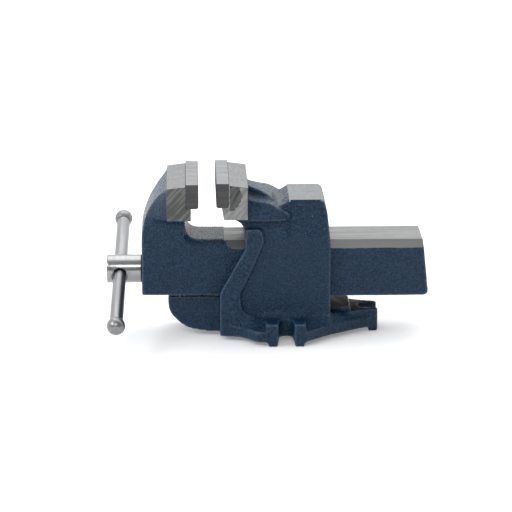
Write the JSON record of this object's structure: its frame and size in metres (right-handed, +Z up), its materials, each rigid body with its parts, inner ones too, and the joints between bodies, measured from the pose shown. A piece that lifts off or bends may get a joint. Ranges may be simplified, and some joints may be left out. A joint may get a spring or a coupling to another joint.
{
  "type": "bench vise",
  "caption": "Cast-iron bench vise with a fixed slotted base, small anvil, two steel-faced jaws, a box slide, and a screw turned by a sliding bar handle.",
  "frame": {"origin": "on the seat of the base, in the middle plane, on the centre line of the two side bolt slots", "axes": "+X along the slide and screw, away from the handle; +Z up; +Y across the jaws"},
  "size_m": [0.3262, 0.2079, 0.1658],
  "materials": {
    "blue_enamel": "semi-gloss enamel over cast iron",
    "ground_steel": "ground, serrated on the gripping face",
    "turned_steel": "turned and polished",
    "black_steel": "blackened",
    "raw_iron": "machined cast iron",
    "spring_steel": "oiled spring wire"
  },
  "bodies": {
    "body": {"fixed_jaw_body": "blue_enamel", "fixed_jaw_plate": "ground_steel", "fixed_plate_screws": "black_steel", "main_nut": "raw_iron", "nut_bolt": "black_steel", "nut_washer": "black_steel"},
    "sliding_jaw": {"sliding_jaw": "blue_enamel", "sliding_jaw_plate": "ground_steel", "sliding_plate_screws": "black_steel", "thrust_spring": "spring_steel"},
    "screw": {"lead_screw": "turned_steel", "spring_washer": "black_steel", "cotter_pin": "spring_steel"},
    "handle": {"handle_bar": "turned_steel", "handle_knob_near": "turned_steel", "handle_knob_far": "turned_steel"}
  },
  "joints": [
    {"name": "jaw_slide", "type": "slide", "parent": "body", "child": "sliding_jaw", "axis": [-1, 0, 0], "range_m": [-0.0175, 0.085]},
    {"name": "screw_spin", "type": "hinge", "parent": "sliding_jaw", "child": "screw", "pos_m": [-0.1678, 0, 0.0645], "axis": [-1, 0, 0], "range_deg": [-1262, 6122]},
    {"name": "handle_slide", "type": "slide", "parent": "screw", "child": "handle", "axis": [-0.0218, -0.9561, -0.2923], "range_m": [-0.083, 0.076]}
  ],
  "couplings": [
    {"joint": "screw_spin", "follows": "jaw_slide", "rad_per_m": 1256.6}
  ]
}
